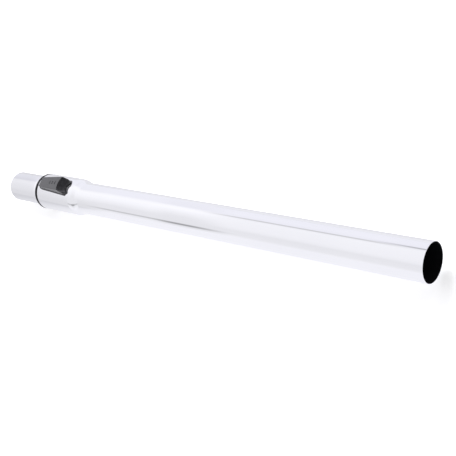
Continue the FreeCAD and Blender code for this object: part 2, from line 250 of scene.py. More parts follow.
def s_bend(x0, r0, x1, r1):
    """Points of a smooth step from (x0, r0) to (x1, r1): two equal arcs that are level at the ends."""
    run = (x1 - x0) / 2
    step = (r1 - r0) / 2
    radius = (run ** 2 + step ** 2) / (2 * abs(step))
    turn = 2 * math.atan2(abs(step), abs(run))
    angles = np.linspace(0, turn, BEND_STEPS // 2 + 1)
    along = np.copysign(radius * np.sin(angles), run)
    rise = np.copysign(radius * (1 - np.cos(angles)), step)
    first = [(x0 + a, r0 + b) for a, b in zip(along, rise)]
    second = [(x1 - a, r1 - b) for a, b in zip(along, rise)]
    return first + second[::-1][1:]


def ring_faces(rows, columns, closed_rows):
    """Quads of a grid whose columns run round. With closed_rows the last row joins the first."""
    faces = []
    for i in range(rows if closed_rows else rows - 1):
        below = i * columns
        above = (i + 1) % rows * columns
        for j in range(columns):
            k = (j + 1) % columns
            faces.append((below + j, above + j, above + k, below + k))
    return faces


def lathe(name, profile, materials, bore=None):
    """A closed outline of (x, radius) points turned about X. Faces in the bore take the second material."""
    angles = np.linspace(0, 2 * math.pi, TURN_STEPS, endpoint=False)
    verts = [(x, r * math.sin(a), r * math.cos(a)) for x, r in profile for a in angles]
    faces = ring_faces(len(profile), TURN_STEPS, True)
    which = None
    if bore is not None:
        rows = [int(bore(profile[i], profile[(i + 1) % len(profile)])) for i in range(len(profile))]
        which = np.repeat(rows, TURN_STEPS)
    return new_object(name, verts, faces, materials, which)


def drawn_out(ends):
    """A bmesh in metres between two copies of an outline in millimetres."""
    shape = bmesh.new()
    low, high = [[shape.verts.new([c * MM for c in point]) for point in end] for end in ends]
    shape.faces.new(low)
    shape.faces.new(high[::-1])
    for i in range(len(low)):
        j = (i + 1) % len(low)
        shape.faces.new((low[j], low[i], high[i], high[j]))
    bmesh.ops.recalc_face_normals(shape, faces=shape.faces)
    return shape


def prism(outline, y0, y1):
    """An (x, z) outline drawn out along Y."""
    return drawn_out([[(x, y, z) for x, z in outline] for y in (y0, y1)])


def section_along(section, x0, x1):
    """A (y, z) section drawn out along X."""
    return drawn_out([[(x, y, z) for y, z in section] for x in (x0, x1)])


def box_outline(x0, x1, z0, z1):
    return [(x0, z0), (x1, z0), (x1, z1), (x0, z1)]


def loose_object(shape, name="cutter"):
    """A bmesh as an object that is used up by a later step."""
    mesh = bpy.data.meshes.new(name)
    shape.to_mesh(mesh)
    shape.free()
    piece = bpy.data.objects.new(name, mesh)
    bpy.context.scene.collection.objects.link(piece)
    return piece


def combine(piece, other, operation):
    """Cuts or joins another object into a piece, and removes that object."""
    step = piece.modifiers.new("combine", "BOOLEAN")
    step.operation = operation
    step.solver = "EXACT"
    step.object = other
    bpy.context.view_layer.update()
    result = bpy.data.meshes.new_from_object(piece.evaluated_get(bpy.context.evaluated_depsgraph_get()))
    piece.modifiers.clear()
    piece.data = result
    bpy.data.objects.remove(other)
    smooth(piece.data)


def rounded_plan(x0, x1, half, corner, z0, z1):
    """An upright cutter with rounded corners in plan."""
    corners = [(x1 - corner, half - corner, 0), (x0 + corner, half - corner, 90)]
    corners += [(x0 + corner, corner - half, 180), (x1 - corner, corner - half, 270)]
    plan = [p for x, y, start in corners for p in arc((x, y), corner, start, start + 90)]
    return drawn_out([[(x, y, z) for x, y in plan] for z in (z0, z1)])


def outer_tube(chrome, bore):
    swage_end = SWAGE_X + SWAGE_LENGTH
    socket_x = WAND_END_X - SOCKET_DEPTH
    rim = arc((HEAD_X + RIM_ROUND, HEAD_R - RIM_ROUND), RIM_ROUND, 180, 90)
    outside = rim + s_bend(SWAGE_X, HEAD_R, swage_end, TUBE_R)
    mouth = arc((WAND_END_X - RIM_ROUND, TUBE_R - RIM_ROUND), RIM_ROUND, 90, 0)
    lip = arc((WAND_END_X - RIM_ROUND, SOCKET_R + RIM_ROUND), RIM_ROUND, 0, -90)
    inside = [(socket_x, SOCKET_R), (socket_x - SOCKET_STEP, TUBE_BORE_R)]
    inside += s_bend(swage_end, TUBE_BORE_R, SWAGE_X, HEAD_BORE_R) + [(HEAD_X, HEAD_BORE_R)]

    def in_bore(a, b):
        lowest = SOCKET_R if min(a[0], b[0]) > SWAGE_X + SWAGE_LENGTH else HEAD_BORE_R
        return max(a[1], b[1]) < lowest + 0.01 and a[0] > b[0]

    piece = lathe("tube_outer", outside + mouth + lip + inside, [chrome, bore], in_bore)
    window_end = WINDOW_X + WINDOW_LENGTH
    window = rounded_plan(WINDOW_X, window_end, WINDOW_WIDTH / 2, WINDOW_CORNER, 0, 2 * HEAD_R)
    combine(piece, loose_object(window), "DIFFERENCE")
    return piece


def smooth_step(value, low, high):
    t = np.clip((value - low) / (high - low), 0, 1)
    return t * t * (3 - 2 * t)


def press_track(points, skin):
    """Moves points of the inner tube's wall down into the pressed track and its notches."""
    x, y, z = points.T
    half = TRACK_WIDTH / 2 + skin
    past = np.maximum(np.maximum(TRACK_X + half - x, x - TRACK_END_X + half), 0)
    inside = smooth_step(half - np.hypot(past, y), -PRESS_ROUND, PRESS_ROUND)
    nearest = np.clip(np.round((x - NOTCH_X) / NOTCH_PITCH), 0, NOTCH_COUNT - 1)
    radius = NOTCH_RADIUS + skin
    from_notch = np.minimum(np.abs(x - NOTCH_X - nearest * NOTCH_PITCH), radius)
    dip = np.sqrt(radius ** 2 - from_notch ** 2) - (NOTCH_RADIUS - NOTCH_DEPTH) - skin
    floor = TRACK_FLOOR_Z - skin - np.maximum(dip, 0)
    pressed = (z > 0) & (z > floor)
    points[:, 2] = np.where(pressed, z + (floor - z) * inside, z)


def track_stations():
    """Stations along the inner tube, close together at the track's ends and at each notch."""
    stations = [SPIGOT_LENGTH + SHOULDER_LENGTH, INNER_END_X]
    half = TRACK_WIDTH / 2
    for x in (TRACK_X + half, TRACK_END_X - half):
        reach = half + TRACK_END_SPARE
        stations += list(x + np.linspace(-reach, reach, TRACK_END_STATIONS))
    for i in range(NOTCH_COUNT):
        reach = NOTCH_RADIUS + NOTCH_SPARE
        stations += list(NOTCH_X + i * NOTCH_PITCH + np.linspace(-reach, reach, NOTCH_STATIONS))
    return sorted(stations)


def inner_tube(chrome, bore):
    dense = np.arcsin(np.linspace(-TRACK_STRIP_HALF, TRACK_STRIP_HALF, TRACK_COLUMNS) / INNER_R)
    rest = np.linspace(dense[-1], 2 * math.pi + dense[0], PLAIN_COLUMNS)[1:-1]
    angles = np.concatenate([dense, rest])
    track = track_stations()
    shoulder_x = SPIGOT_LENGTH + SHOULDER_LENGTH
    roll = TIP_BEVEL
    tip = arc((roll, SPIGOT_R - roll), roll, 180, 90, TIP_STEPS)
    shoulder = s_bend(SPIGOT_LENGTH, SPIGOT_R, shoulder_x, INNER_R)
    outside = tip + shoulder + [(x, INNER_R) for x in track[1:]]
    bore_r = INNER_R - INNER_WALL
    spigot_bore = SPIGOT_R - INNER_WALL
    inside = [(x, bore_r) for x in track[:0:-1]]
    inside += s_bend(shoulder_x, bore_r, SPIGOT_LENGTH, spigot_bore)
    inside += arc((roll, SPIGOT_R - roll), roll - INNER_WALL, 90, 180, TIP_STEPS // 2)
    verts = []
    for profile, skin in ((outside, 0), (inside, INNER_WALL)):
        rows = np.array([(x, r * math.sin(a), r * math.cos(a)) for x, r in profile for a in angles])
        press_track(rows, skin)
        verts.append(rows)
    count = len(outside) + len(inside)
    faces = ring_faces(count, len(angles), True)
    which = np.repeat([int(len(outside) <= i < count - 1) for i in range(count)], len(angles))
    return new_object("tube_inner", np.concatenate(verts), faces, [chrome, bore], which)


def guide_sleeve(material):
    slope = math.degrees(math.atan2(COLLAR_BEVEL, COLLAR_BEVEL_LENGTH))
    front_r = COLLAR_R - COLLAR_BEVEL
    edge = arc((COLLAR_X + COLLAR_ROUND, front_r - COLLAR_ROUND_DROP), COLLAR_ROUND, 180, 90 + slope)
    crown_x = COLLAR_X + COLLAR_BEVEL_LENGTH
    before_crown = (crown_x - CROWN_LEAD, COLLAR_R - CROWN_LEAD * COLLAR_BEVEL / COLLAR_BEVEL_LENGTH)
    back = [(HEAD_X - COLLAR_BACK_BEVEL, COLLAR_R), (HEAD_X, COLLAR_R - COLLAR_BACK_BEVEL), (HEAD_X, SLEEVE_R)]
    outside = edge + [before_crown, (crown_x + CROWN_TRAIL, COLLAR_R)] + back
    groove_end = SEAL_GROOVE_X + SEAL_WIDTH
    groove = [(groove_end, GUIDE_R), (groove_end, SEAL_GROOVE_R)]
    groove += [(SEAL_GROOVE_X, SEAL_GROOVE_R), (SEAL_GROOVE_X, GUIDE_R)]
    inside = [(SLEEVE_END_X, SLEEVE_R), (SLEEVE_END_X, GUIDE_R)] + groove
    inside += [(COLLAR_X + GUIDE_BEVEL, GUIDE_R), (COLLAR_X, GUIDE_R + GUIDE_BEVEL)]
    piece = lathe("sleeve_guide", outside + inside, [material])
    half = TRACK_WIDTH / 2 - RIB_CLEARANCE
    rib_x = TRACK_X + TRACK_WIDTH / 2 + RIB_CLEARANCE
    rib = box_outline(rib_x, RIB_END_X, TRACK_FLOOR_Z + RIB_CLEARANCE, GUIDE_R + RIB_SINK)
    combine(piece, loose_object(prism(rib, -half, half)), "UNION")
    pocket_x = WINDOW_X - POCKET_SPARE
    pocket_end = WINDOW_X + WINDOW_LENGTH + POCKET_SPARE
    ys = np.linspace(-POCKET_HALF, POCKET_HALF, POCKET_POINTS)
    section = [(y, math.sqrt(POCKET_R ** 2 - y ** 2)) for y in ys]
    section += [(POCKET_HALF, 2 * HEAD_R), (-POCKET_HALF, 2 * HEAD_R)]
    combine(piece, loose_object(section_along(section, pocket_x, pocket_end)), "DIFFERENCE")
    trough = arc((0, SPRING_Z), SPRING_R + SPRING_CLEARANCE, 0, 360, WIRE_STEPS * 2)[1:]
    trough_end = WEB_END_X + SPRING_CLEARANCE
    combine(piece, loose_object(section_along(trough, pocket_x, trough_end)), "DIFFERENCE")
    gap = KEY_CLEARANCE
    well = box_outline(KEY_LOW.x - gap, KEY_HIGH.x + gap, 0, 2 * HEAD_R)
    combine(piece, loose_object(prism(well, KEY_LOW.y - gap, KEY_HIGH.y + gap)), "DIFFERENCE")
    return piece


def draft_at(z):
    """How far the button's sides lean in at a height."""
    return DRAFT * (z - DRAFT_BASE_Z) / (HEAD_R + CREST_RISE - DRAFT_BASE_Z)


def roof(x):
    return HEAD_R + NOSE_RISE + (CREST_RISE - NOSE_RISE) * min((x - BUTTON_X) / CREST_X, 1)


def scoop_centre():
    crest = Vector((BUTTON_X + CREST_X, HEAD_R + CREST_RISE))
    foot = Vector((BUTTON_X + BUTTON_LENGTH - TAIL_NOTCH, HEAD_R + TAIL_RISE))
    chord = foot - crest
    away = Vector((-chord.y, chord.x)).normalized()
    return (crest + foot) / 2 + away * math.sqrt(SCOOP_RADIUS ** 2 - chord.length_squared / 4)


SCOOP = scoop_centre()


def scoop_height(x, y):
    return SCOOP.y - math.sqrt(max(SCOOP_RADIUS ** 2 - (x - SCOOP.x) ** 2 - y ** 2, 0))


def button_top(x, y):
    """Height of the button's top: the sloping roof, and the scoop behind the crest, with a soft edge."""
    gap = roof(x) - scoop_height(x, y)
    return roof(x) - max(gap, 0) - CREST_SOFT / 4 * max(1 - abs(gap) / CREST_SOFT, 0) ** 2


def crest_station(y):
    """Where the scoop meets the roof, at a distance y from the middle."""
    low = BUTTON_X + CREST_X / 2
    high = SCOOP.x
    for _ in range(CREST_HALVINGS):
        middle = (low + high) / 2
        if scoop_height(middle, y) > roof(middle):
            low = middle
        else:
            high = middle
    return (low + high) / 2


def side_half(x, inset):
    """Half the button's width at a station, drawn in by inset."""
    stations = [BUTTON_X + inset, BUTTON_X + WAIST_X, BUTTON_X + BUTTON_LENGTH - inset - TAIL_CORNER]
    return np.interp(x, stations, [NOSE_HALF, WAIST_HALF, TAIL_HALF]) - inset


def tail_station(y, inset):
    """Where the tail ends at a distance y from the middle: a vee between two chamfered prongs."""
    end = BUTTON_X + BUTTON_LENGTH - inset
    half = TAIL_HALF - inset
    return np.interp(abs(y), [0, half - TAIL_CORNER, half], [end - TAIL_NOTCH, end, end - TAIL_CORNER])


def plan_point(u, v, inset):
    """A point of the button's plan.

    u runs from 0 at the nose to 1 at the crest and 2 at the tail, and v from -1 to 1 from side to side.
    """
    y = v * WAIST_HALF
    for _ in range(PLAN_ROUNDS):
        crest = crest_station(y)
        if u <= 1:
            nose = BUTTON_X + inset
            x = nose + u * (crest - nose)
        else:
            x = crest + (u - 1) * (tail_station(y, inset) - crest)
        y = v * side_half(x, inset)
    return x, y


def button_lattice():
    """The plan lattice's two rulings: closer together at the ends, the crest and the vee."""
    ahead = 1 - (1 - np.linspace(0, 1, AHEAD_POINTS)) ** AHEAD_CROWDING
    behind = 1 + np.linspace(0, 1, BEHIND_POINTS)[1:]
    along = sorted(list(ahead) + list(behind) + CREST_ROWS)
    corner = 1 - TAIL_CORNER / TAIL_HALF
    half = list(np.linspace(0, corner, INNER_COLUMNS)) + list(np.linspace(corner, 1, CORNER_COLUMNS))[1:]
    across = [-v for v in half[:0:-1]] + half
    return along, across


def button_shell(material):
    """The button's outside and its hollow, as one closed mesh."""
    along, across = button_lattice()
    rows, columns = len(along), len(across)
    rim = [(i, 0) for i in range(rows)] + [(rows - 1, j) for j in range(1, columns)]
    rim += [(i, columns - 1) for i in range(rows - 2, -1, -1)] + [(0, j) for j in range(columns - 2, 0, -1)]
    verts, faces = [], []

    def place(i, j, inset, height):
        """Adds a point of the lattice, with the sides drawn in to suit its height."""
        drawn = inset
        for _ in range(DRAFT_ROUNDS):
            x, y = plan_point(along[i], across[j], drawn)
            z = height(x, y)
            drawn = inset + draft_at(z)
        verts.append((x, y, z))
        return len(verts) - 1

    def sheet(inset, height, flip):
        grid = [[place(i, j, inset, height) for j in range(columns)] for i in range(rows)]
        for i in range(rows - 1):
            for j in range(columns - 1):
                quad = (grid[i][j], grid[i + 1][j], grid[i + 1][j + 1], grid[i][j + 1])
                faces.append(quad[::-1] if flip else quad)
        return [grid[i][j] for i, j in rim]

    def band(last, inset, height):
        ring = [place(i, j, inset, height) for i, j in rim]
        join(last, ring)
        return ring

    def join(last, ring):
        for k in range(len(rim)):
            n = (k + 1) % len(rim)
            faces.append((last[n], last[k], ring[k], ring[n]))

    def base(x, y):
        return math.sqrt(BUTTON_BASE_R ** 2 - y ** 2)

    def skirt_top(x, y):
        return math.sqrt((BUTTON_BASE_R + SKIRT_HEIGHT) ** 2 - y ** 2)

    def wall_at(share, drop):
        """A height between the top edge and the skirt."""
        def height(x, y):
            high = max(button_top(x, y) - drop, skirt_top(x, y))
            return high + share * (skirt_top(x, y) - high)
        return height

    def ceiling(x, y):
        return max(button_top(x, y) - BUTTON_WALL, base(x, y) + HOLLOW_LEAST)

    ring = sheet(BUTTON_ROUND, button_top, False)
    for angle in np.radians(ROUND_ANGLES):
        inset = BUTTON_ROUND * (1 - math.sin(angle))
        drop = BUTTON_ROUND * (1 - math.cos(angle))
        ring = band(ring, inset, wall_at(0, drop))
    for share in WALL_SHARES:
        ring = band(ring, 0, wall_at(share, BUTTON_ROUND))
    ring = band(ring, SKIRT_ROUND - SKIRT_WIDTH, skirt_top)
    ring = band(ring, -SKIRT_WIDTH, lambda x, y: skirt_top(x, y) - SKIRT_ROUND)
    ring = band(ring, -SKIRT_WIDTH, base)
    ring = band(ring, BUTTON_WALL, base)
    ring = band(ring, BUTTON_WALL, ceiling)
    join(ring, sheet(BUTTON_WALL, ceiling, True))
    return new_object("button_thumb", verts, faces, [material])


def ridge(x):
    """A short raised bar across the button's top, with rounded ends."""
    z = roof(x)
    shape = bmesh.new()
    bmesh.ops.create_uvsphere(shape, u_segments=24, v_segments=12, radius=RIDGE_RADIUS * MM)
    stretch = (RIDGE_LENGTH / 2 - RIDGE_RADIUS) * MM
    for v in shape.verts:
        v.co = v.co.xzy
        v.co.y += math.copysign(stretch, v.co.y) if abs(v.co.y) > RIDGE_RADIUS * MM / 100 else 0
        v.co += Vector((x, 0, z)) * MM
    bmesh.ops.recalc_face_normals(shape, faces=shape.faces)
    return loose_object(shape, "ridge")


def cam_outline():
    """The slanted slot that carries the cross pin up as the button slides."""
    radius = PIN_RADIUS + CAM_CLEARANCE
    slope = math.degrees(math.atan2(LOCK_LIFT, BUTTON_TRAVEL))
    low = arc((NOTCH_X, PIN_Z), radius, 90 + slope, 270 + slope, CAM_STEPS)
    lifted = (NOTCH_X + BUTTON_TRAVEL, PIN_Z + LOCK_LIFT)
    high = arc(lifted, radius, slope - 90, slope + 90, CAM_STEPS)
    return low + high


def button_legs():
    """The cheeks, feet and spring wall under the button."""
    top = roof(LEG_X) - BUTTON_WALL / 2
    top_end = min(roof(LEG_END_X), scoop_height(LEG_END_X, 0)) - BUTTON_WALL / 2
    low = [(LEG_X, CHEEK_LOW_Z), (LEG_END_X, CHEEK_LOW_Z)]
    crest = (CHEEK_CREST_X, roof(CHEEK_CREST_X) - BUTTON_WALL / 2)
    cheek = low + [(LEG_END_X, top_end), crest, (LEG_X, top)]
    pieces = []
    for side in (-1, 1):
        y0, y1 = sorted((side * CHEEK_IN_Y, side * CHEEK_OUT_Y))
        plate = loose_object(prism(cheek, y0, y1), "cheek")
        slot = prism(cam_outline(), y0 - CUT_SPARE, y1 + CUT_SPARE)
        combine(plate, loose_object(slot), "DIFFERENCE")
        pieces.append(plate)
        for x in (LEG_X, LEG_END_X - FOOT_LENGTH):
            pieces.append(foot(x, side))
    web_top = roof(WEB_END_X - WEB_THICKNESS) - BUTTON_WALL / 2
    web = box_outline(WEB_END_X - WEB_THICKNESS, WEB_END_X, FOOT_IN_R, web_top)
    pieces.append(loose_object(prism(web, -CHEEK_IN_Y, CHEEK_IN_Y), "web"))
    pad = arc((0, SPRING_Z), SPRING_R, 0, 360, WIRE_STEPS * 2)[1:]
    pieces.append(loose_object(section_along(pad, WEB_END_X - WEB_THICKNESS, WEB_END_X), "pad"))
    return pieces


def foot(x, side):
    """A foot that hooks under the edge of the head's window."""
    ys = np.linspace(CHEEK_IN_Y, FOOT_OUT_Y, FOOT_POINTS)
    section = [(side * y, math.sqrt(FOOT_R ** 2 - y ** 2)) for y in ys]
    section += [(side * y, math.sqrt(FOOT_IN_R ** 2 - y ** 2)) for y in ys[::-1]]
    return loose_object(section_along(section, x, x + FOOT_LENGTH), "foot")


def join_into(piece, others):
    """Adds other meshes to a piece as they stand."""
    whole = bmesh.new()
    for part in [piece] + others:
        whole.from_mesh(part.data)
    whole.to_mesh(piece.data)
    whole.free()
    for part in others:
        bpy.data.objects.remove(part)
    smooth(piece.data)


def thumb_button(material):
    piece = button_shell(material)
    ridges = [ridge(RIDGE_X + i * RIDGE_PITCH) for i in range(RIDGE_COUNT)]
    join_into(piece, ridges + button_legs())
    return piece


def return_spring(material):
    """An open coil between the pocket's end and the button's wall."""
    wire = SPRING_WIRE / 2
    steps = SPRING_TURNS * COIL_STEPS
    length = SPRING_HIGH.x - SPRING_LOW.x
    verts = []
    for i in range(steps + 1):
        turn = 2 * math.pi * i / COIL_STEPS
        x = SPRING_LOW.x + wire + (length - SPRING_WIRE) * i / steps
        for j in range(WIRE_STEPS):
            around = 2 * math.pi * j / WIRE_STEPS
            out = SPRING_R - wire + wire * math.cos(around)
            verts.append((x - wire * math.sin(around), out * math.sin(turn), SPRING_Z + out * math.cos(turn)))
    faces = ring_faces(steps + 1, WIRE_STEPS, False)
    first = list(range(WIRE_STEPS))
    faces += [first, [steps * WIRE_STEPS + k for k in first[::-1]]]
    piece = new_object("spring_return", verts, faces, [material])
    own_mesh(piece)
    return piece


# Materials

def material(name):
    """A new material, its node tree and its main shader."""
    made = bpy.data.materials.new(name)
    made.use_nodes = True
    return made, made.node_tree, made.node_tree.nodes["Principled BSDF"]


def noise(tree, scale, detail=2.0, stretch=(1, 1, 1)):
    """A noise in object space. scale is the number of waves in a millimetre."""
    place = tree.nodes.new("ShaderNodeTexCoord")
    mapping = tree.nodes.new("ShaderNodeMapping")
    mapping.inputs["Scale"].default_value = stretch
    texture = tree.nodes.new("ShaderNodeTexNoise")
    texture.inputs["Scale"].default_value = scale / MM
    texture.inputs["Detail"].default_value = detail
    tree.links.new(place.outputs["Object"], mapping.inputs["Vector"])
    tree.links.new(mapping.outputs["Vector"], texture.inputs["Vector"])
    return texture.outputs["Fac"]


def feed(tree, socket, value):
    """Sets a socket to a number or a colour, or links another socket to it."""
    if isinstance(value, bpy.types.NodeSocket):
        tree.links.new(value, socket)
    else:
        socket.default_value = value


def spread(tree, value, from_low, from_high, low, high, kind="SMOOTHSTEP"):
    """A change from one number to another as a value goes from from_low to from_high."""
    node = tree.nodes.new("ShaderNodeMapRange")
    node.interpolation_type = kind
    feed(tree, node.inputs["Value"], value)
    feed(tree, node.inputs["From Min"], from_low)
    feed(tree, node.inputs["From Max"], from_high)
    feed(tree, node.inputs["To Min"], low)
    feed(tree, node.inputs["To Max"], high)
    return node.outputs["Result"]


# The middle part of a noise's range, which holds most of its values
NOISE_LOW = 0.3
NOISE_HIGH = 0.7


def vary(tree, value, low, high, target):
    """Spreads a noise between two numbers on a shader's socket."""
    tree.links.new(spread(tree, value, NOISE_LOW, NOISE_HIGH, low, high, "LINEAR"), target)


def tint(tree, value, dark, light, shader):
    """Spreads a noise between two colours."""
    ramp = tree.nodes.new("ShaderNodeValToRGB")
    ramp.color_ramp.elements[0].position = NOISE_LOW
    ramp.color_ramp.elements[0].color = (*dark, 1)
    ramp.color_ramp.elements[1].position = NOISE_HIGH
    ramp.color_ramp.elements[1].color = (*light, 1)
    tree.links.new(value, ramp.inputs["Fac"])
    tree.links.new(ramp.outputs["Color"], shader.inputs["Base Color"])


def grain(tree, value, depth, shader):
    """A fine bump. depth is in millimetres."""
    bump = tree.nodes.new("ShaderNodeBump")
    bump.inputs["Distance"].default_value = depth * MM
    bump.inputs["Strength"].default_value = 1.0
    tree.links.new(value, bump.inputs["Height"])
    tree.links.new(bump.outputs["Normal"], shader.inputs["Normal"])


def chrome_plate():
    made, tree, shader = material("chrome_plate")
    shader.inputs["Metallic"].default_value = 1.0
    tint(tree, noise(tree, 0.012), (0.885, 0.885, 0.91), (0.905, 0.905, 0.925), shader)
    vary(tree, noise(tree, 0.05, stretch=(0.15, 1, 1)), 0.045, 0.075, shader.inputs["Roughness"])
    return made


# The bore's near-black colour is painted shade: it stands in for the dark inside of the tubes.
def painted_shade_bore():
    made, tree, shader = material("painted_shade_bore")
    shader.inputs["Metallic"].default_value = 0.0
    shader.inputs["Specular IOR Level"].default_value = 0.1
    tint(tree, noise(tree, 0.2), (0.0015, 0.0015, 0.002), (0.004, 0.004, 0.005), shader)
    vary(tree, noise(tree, 0.4), 0.6, 0.8, shader.inputs["Roughness"])
    return made


def moulded(name, dark, light, rough_low, rough_high, shine=0.5):
    made, tree, shader = material(name)
    shader.inputs["Specular IOR Level"].default_value = shine
    tint(tree, noise(tree, 0.08, 3), dark, light, shader)
    vary(tree, noise(tree, 0.6, 3), rough_low, rough_high, shader.inputs["Roughness"])
    grain(tree, noise(tree, 3.0, 1), 0.004, shader)
    return made


def drawn_steel(name, dark, light, rough_low, rough_high):
    made, tree, shader = material(name)
    shader.inputs["Metallic"].default_value = 1.0
    tint(tree, noise(tree, 0.5, stretch=(1, 8, 1)), dark, light, shader)
    vary(tree, noise(tree, 1.5, stretch=(8, 1, 8)), rough_low, rough_high, shader.inputs["Roughness"])
    return made


# Pieces

CHROME = chrome_plate()
# Painted shade for the inside of both tubes
BORE_SHADE = painted_shade_bore()
SLEEVE_PLASTIC = moulded("sleeve_black", (0.004, 0.004, 0.005), (0.007, 0.007, 0.008), 0.45, 0.55, 0.15)
BUTTON_PLASTIC = moulded("button_grey", (0.067, 0.066, 0.071), (0.075, 0.074, 0.08), 0.2, 0.26)
SPRING_STEEL = drawn_steel("spring_wire", (0.36, 0.36, 0.38), (0.48, 0.48, 0.5), 0.25, 0.4)
NODE_MATERIALS = {
    "wiper_seal": moulded("seal_black", (0.012, 0.012, 0.012), (0.02, 0.02, 0.02), 0.65, 0.8),
    "glide_bush": moulded("bush_white", (0.6, 0.6, 0.57), (0.68, 0.68, 0.65), 0.4, 0.5),
    "lock_key": moulded("key_natural", (0.58, 0.56, 0.5), (0.66, 0.64, 0.58), 0.35, 0.45),
    "lock_pin": drawn_steel("pin_ground", (0.5, 0.5, 0.52), (0.62, 0.62, 0.64), 0.2, 0.32),
}
for node, finish in NODE_MATERIALS.items():
    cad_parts[node].data.materials.clear()
    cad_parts[node].data.materials.append(finish)

PIECES = [
    (outer_tube(CHROME, BORE_SHADE), "outer_tube", "outer", "chrome_steel"),
    (inner_tube(CHROME, BORE_SHADE), "inner_tube", "inner", "chrome_steel"),
    (guide_sleeve(SLEEVE_PLASTIC), "guide_sleeve", "outer", "sleeve_plastic"),
    (thumb_button(BUTTON_PLASTIC), "thumb_button", "button", "button_plastic"),
    (return_spring(SPRING_STEEL), "return_spring", "outer", "spring_steel"),
]
for piece, node, body, slot in PIECES:
    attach(piece, body)
    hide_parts(node)


# Floor, light and camera

FLOOR_Z = -HEAD_R
FLOOR_HALF = 6000.0
FLOOR_COLOUR = (0.9, 0.9, 0.9)
FLOOR_GLOW = 0.5
METAL_TINT = (0.985, 0.985, 1.03)
NEAR_SLANT = -1.1


def math_node(tree, operation, first, second):
    """One step of arithmetic on sockets or numbers."""
    node = tree.nodes.new("ShaderNodeMath")
    node.operation = operation
    feed(tree, node.inputs[0], first)
    feed(tree, node.inputs[1], second)
    return node.outputs[0]


def empty_material(name):
    """A new material without nodes, and its node tree."""
    made = bpy.data.materials.new(name)
    made.use_nodes = True
    made.node_tree.nodes.clear()
    return made, made.node_tree


def coordinates(tree, kind):
    """X, Y and Z of a place, or in the world of a direction."""
    source = tree.nodes.new("ShaderNodeTexCoord")
    parts = tree.nodes.new("ShaderNodeSeparateXYZ")
    tree.links.new(source.outputs[kind], parts.inputs[0])
    return [parts.outputs[axis] for axis in "XYZ"]


def emission(tree, strength, colour=(1, 1, 1, 1)):
    node = tree.nodes.new("ShaderNodeEmission")
    feed(tree, node.inputs["Strength"], strength)
    feed(tree, node.inputs["Color"], colour)
    return node.outputs[0]


def mix_shaders(tree, share, first, second):
    """Shows the first shader where share is 0, and the second where it is 1."""
    node = tree.nodes.new("ShaderNodeMixShader")
    for socket, value in zip(node.inputs, (share, first, second)):
        tree.links.new(value, socket)
    return node.outputs[0]


def set_surface(tree, shader):
    output = tree.nodes.new("ShaderNodeOutputMaterial")
    tree.links.new(shader, output.inputs["Surface"])


def only_in_reflections(piece):
    piece.visible_camera = False
    piece.visible_diffuse = False
    piece.visible_transmission = False
    piece.visible_shadow = False


def floor():
    """Pale floor that keeps the wand's shadow. Polished faces see a painted reflection of it, a glow whose
    brightness is set by the place on it, with painted shade towards the nozzle end and on the far side.
    """
    made, tree = empty_material("floor_white")
    x, y, _ = coordinates(tree, "Object")
    # Painted shade in reflections: darker towards the nozzle end and on the wand's far side, with a darker
    # band just beyond it.
    near_nozzle = spread(tree, x, -0.1, 0.16, 0.73, 1.0)
    slant = math_node(tree, "ADD", x, math_node(tree, "MULTIPLY", y, NEAR_SLANT))
    near = spread(tree, slant, 0.12, 0.2, near_nozzle, 1.0)
    far = spread(tree, x, -0.1, 0.1, 0.84, 0.95)
    side = spread(tree, y, -0.02, 0.02, near, far)
    painted_shade_beside = spread(tree, y, 0.0, 0.03, 1.0, 0.9)
    beyond = spread(tree, y, 0.04, 0.2, painted_shade_beside, 1.0)
    floor_painted_reflection = emission(tree, math_node(tree, "MULTIPLY", side, beyond), (*METAL_TINT, 1))
    path = tree.nodes.new("ShaderNodeLightPath")
    direct = math_node(tree, "MAXIMUM", path.outputs["Is Camera Ray"], path.outputs["Is Transmission Ray"])
    glow = emission(tree, math_node(tree, "MULTIPLY", direct, FLOOR_GLOW))
    diffuse = tree.nodes.new("ShaderNodeBsdfDiffuse")
    diffuse.inputs["Color"].default_value = (*FLOOR_COLOUR, 1)
    lit = tree.nodes.new("ShaderNodeAddShader")
    tree.links.new(diffuse.outputs[0], lit.inputs[0])
    tree.links.new(glow, lit.inputs[1])
    set_surface(tree, mix_shaders(tree, path.outputs["Is Glossy Ray"], lit.outputs[0], floor_painted_reflection))
    corners = [(-1, -1), (1, -1), (1, 1), (-1, 1)]
    verts = [(x * FLOOR_HALF, y * FLOOR_HALF, FLOOR_Z) for x, y in corners]
    plane = new_object("floor", verts, [(0, 1, 2, 3)], [made])


# Painted reflections: brightness by the angle round the wand's axis, from the far floor's edge over the top to
# the near one, one list for each stretch of the wand. Their dips are painted dark reflection lines.
SPIGOT_BANDS = [(-90, 0.84), (-67, 0.83), (-41, 0.78), (-36, 0.79), (-31, 0.9), (-14, 0.93), (17, 0.88),
                (41, 0.855), (64, 0.8), (90, 0.79)]
HEAD_BANDS = [(-90, 0.93), (-36, 0.93), (-31, 0.97), (-18, 1.0), (5, 0.96), (29, 0.905), (41, 0.868),
              (52, 0.845), (76, 0.795), (90, 0.787)]
NECK_BANDS = [(-90, 0.93), (-36, 0.93), (-31, 0.99), (-18, 1.06), (5, 1.03), (29, 0.945), (41, 0.89),
              (52, 0.848), (76, 0.795), (90, 0.8)]
TUBE_BANDS = [(-90, 0.95), (-43, 0.955), (-31, 1.04), (-19, 1.08), (5, 1.03), (29, 0.94), (41, 0.88),
              (68, 0.87), (72, 0.6), (76, 0.6), (80, 0.88), (85, 0.93), (90, 0.95)]
SOCKET_NEAR = [(-19, 1.0), (29, 0.977), (41, 0.95), (53, 0.88), (77, 0.9), (90, 0.97)]
SOCKET_BANDS = [(-90, 0.95), (-55, 0.965), (-37, 0.94), (-33, 0.66), (-30, 0.66), (-26, 0.98)] + SOCKET_NEAR
